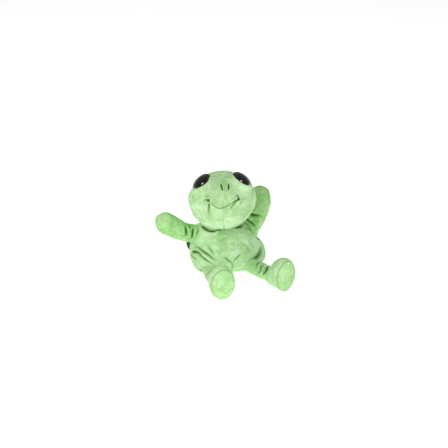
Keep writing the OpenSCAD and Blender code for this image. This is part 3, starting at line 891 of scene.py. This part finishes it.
legKeys = {
    "left": [(-40, 10, 9.5, 1, -3.5), (-10, 10.5, 10, 1, -3), (0, 11.2, 11, 0.5, -2.4),
             (12, 12, 11.8, 0, -1.6), (24, 12.2, 12.2, 0, -0.8), (31, 11.6, 11.8, 0, -0.6),
             (37, 12, 12.2, 0, -0.4)],
    "right": [(-40, 12.6, 12, 0, 0), (-10, 12.8, 12.6, 0, 0), (0, 13, 13, 0, 0),
              (12, 12.9, 12.9, 0, 0), (24, 12.4, 12.6, 0, 0), (31, 11.8, 12, 0, -0.4),
              (37, 12, 12.2, 0, -0.4)],
}
footKeys = [(s, x, y, 0, y - 15) for s, x, y in (
    (32, 11.0, 11.6), (34, 12.6, 13.0), (37, 14.0, 15.4), (42, 16.9, 21.4), (50, 20.3, 26.6),
    (60, 22.2, 29.2), (66, 22.0, 29.0), (69.5, 20.9, 27.8))]
legFolds = {
    "left": [([(20, 26), (70, 23), (120, 27), (170, 24)], 2.4, 1.9, "both"),
             ([(60, 12), (110, 10), (165, 14)], 1.8, 2.2, "both")],
    "right": [([(30, 27), (80, 24), (130, 28), (185, 24)], 3.2, 2.0, "both"),
              ([(60, 17), (110, 14), (150, 17), (195, 11)], 2.2, 2.2, "both"),
              ([(50, 6), (100, 3), (150, 7)], 2.2, 2.4, "both")],
}
for word, frameOf in legs.items():
    pivot, turn = frameOf
    grid, s, a = limbGrid(legKeys[word], frameOf, np.linspace(4, 36, 40), 88, 3.2, -38, 10)
    shade = np.zeros(grid.shape[:2])
    normal = gridNormals(grid)
    for keys, deep, wide, ends in legFolds[word]:
        line = limbLine(legKeys[word], frameOf, keys)
        grid = crease(grid, normal, shade, line, deep, wide, ends)
    grid = grid + normal * (0.5 * lumps(grid, 20, 41))[..., None]
    grid[..., 2] = np.maximum(grid[..., 2], 0.4)
    # painted shade: darker at the leg's open end over the foot, and near its root at the body,
    # more on the right leg
    shade = np.maximum(shade, 0.6 * smooth(s, 32, 35))
    shade = np.maximum(shade, (0.3 if word == "right" else 0.16) * (1 - smooth(s, 6, 30)))
    finished(skin(word + "LegSkin", grid, shade, closeHigh=True), "green_plush",
             [word + "_leg_skin"],
             ways=("torso", word + "_leg", pivot - 9 * turn[:, 2], pivot + 9 * turn[:, 2]))

    a = np.linspace(0, 2 * math.pi, 96, endpoint=False)
    s = np.concatenate([np.linspace(32, 38, 10)[:-1], np.linspace(38, 69.5, 40)])
    s, a = np.broadcast_arrays(s[:, None], a[None])
    grid = limbForm(footKeys, frameOf, s, a)
    normal = gridNormals(grid)
    gathers = 0.5 * np.cos(11 * a) * hump(s, 38, 5)
    grid = grid + normal * (gathers + 0.5 * lumps(grid, 26, 51) * hump(s, 56, 12))[..., None]
    grid[..., 2] = np.maximum(grid[..., 2], 0.05)
    # painted shade where the foot runs into the leg and along the sole's seam
    shade = np.maximum(0.7 * hump(s, 32, 2.5), 0.45 * hump(s, 69.5, 1.2))
    finished(skin(word + "FootSkin", grid, shade, closeLow=True, closeHigh=True), "green_plush",
             [word + "_foot_skin"], body=word + "_leg")

    # the sole swells a little and tucks in at its seam
    share = np.concatenate([np.linspace(0.03, 1, 26), [0.97, 0.8, 0.4]])
    lift = np.concatenate([69.8 + 3.0 * (1 - np.linspace(0.03, 1, 26) ** 4), [69.0, 68.4, 68.2]])
    a = np.linspace(0, 2 * math.pi, 96, endpoint=False)
    disc = np.stack([share[:, None] * 21.0 * np.cos(a), share[:, None] * 27.9 * np.sin(a) + 12.9,
                     lift[:, None] + 0 * a], -1) @ turn.T + pivot
    disc = disc[:, ::-1]
    # painted shade in the tuck along the sole's seam
    shade = np.repeat((0.6 * hump(share, 1.0, 0.035))[:, None], 96, 1)
    finished(skin(word + "Sole", disc, shade, closeLow=True, closeHigh=True), "sole_plush",
             [word + "_sole"], body=word + "_leg")

    for part, keys, low, high in (("Leg", legKeys[word], -2, 31), ("Foot", footKeys, 35, 66)):
        s, a = np.broadcast_arrays(np.linspace(low, high, 26)[:, None], np.linspace(
            0, 2 * math.pi, 56, endpoint=False)[None])
        middling = 1 - np.abs(2 * (s - low) / (high - low) - 1) ** 6
        narrowed = 0.25 + 0.75 * np.sqrt(np.clip(middling, 0, 1))
        inner = [(z, x - 3.6, y - 3.6, mx, my) for z, x, y, mx, my in keys]
        core = limbForm(inner, frameOf, s, a)
        middle = core.mean(1, keepdims=True)
        core = middle + (core - middle) * narrowed[..., None]
        core = core - gridNormals(core) * (0.3 + 0.3 * lumps(core, 14, 6))[..., None]
        finished(skin(word + part + "Stuffing", core, closeLow=True, closeHigh=True),
                 "fibre_filling", [f"{word}_{part.lower()}_stuffing"],
                 body=word + "_leg")
print("legs")


# Stage, light and camera

bpy.ops.mesh.primitive_plane_add(size=6, location=(0, 0, -0.0004))
floor = bpy.context.object
floor.name = "floor"
floorPaint = Paint("floor", {"Roughness": 0.9, "Specular IOR Level": 0.1,
                             "Base Color": ink("fbfbfb"), "Emission Strength": 0.5,
                             "Emission Color": ink("ffffff")})
floor.data.materials.append(floorPaint.made)

world = bpy.data.worlds.new("studio")
bpy.context.scene.world = world
world.use_nodes = True
world.node_tree.nodes["Background"].inputs[0].default_value = (1.0, 1.0, 1.0, 1.0)
world.node_tree.nodes["Background"].inputs[1].default_value = 0.33
bpy.context.scene.view_settings.view_transform = "Standard"


def areaLight(name, at, target, size, watts):
    made = bpy.data.lights.new(name, "AREA")
    made.size, made.energy = size, watts
    lamp = bpy.data.objects.new(name, made)
    lamp.location = at
    lamp.rotation_euler = (Vector(target) - Vector(at)).to_track_quat("-Z", "Y").to_euler()
    bpy.context.collection.objects.link(lamp)


areaLight("key", (-1.1, -1.7, 1.5), (0, 0, 0.08), 0.7, 23)
areaLight("fill", (1.2, -1.8, 0.7), (0, 0, 0.08), 1.2, 8)

# two small lamps that each show as a spark low in one eye
areaLight("leftSpark", (-0.71, 0.33, 0.83), (-0.05, -0.03, 0.18), 0.12, 1.5)
areaLight("rightSpark", (0.70, 0.25, 0.87), (0.03, -0.03, 0.18), 0.12, 1.5)

# the camera looks 28 degrees down and 7 degrees from one side of straight ahead
toCamera = np.array([-0.1077, -0.8764, 0.469])
right, up = np.array([0.9925, -0.122, 0.0]), np.array([0.0572, 0.4655, 0.883])
aim = (-6.8 * right + 66.3 * up) * mm
lens = bpy.data.cameras.new("camera")
lens.lens, lens.sensor_width = 378.2, 36
camera = bpy.data.objects.new("camera", lens)
camera.location = aim + 8.0 * toCamera
camera.rotation_euler = Vector(-toCamera).to_track_quat("-Z", "Y").to_euler()
bpy.context.collection.objects.link(camera)
bpy.context.scene.camera = camera
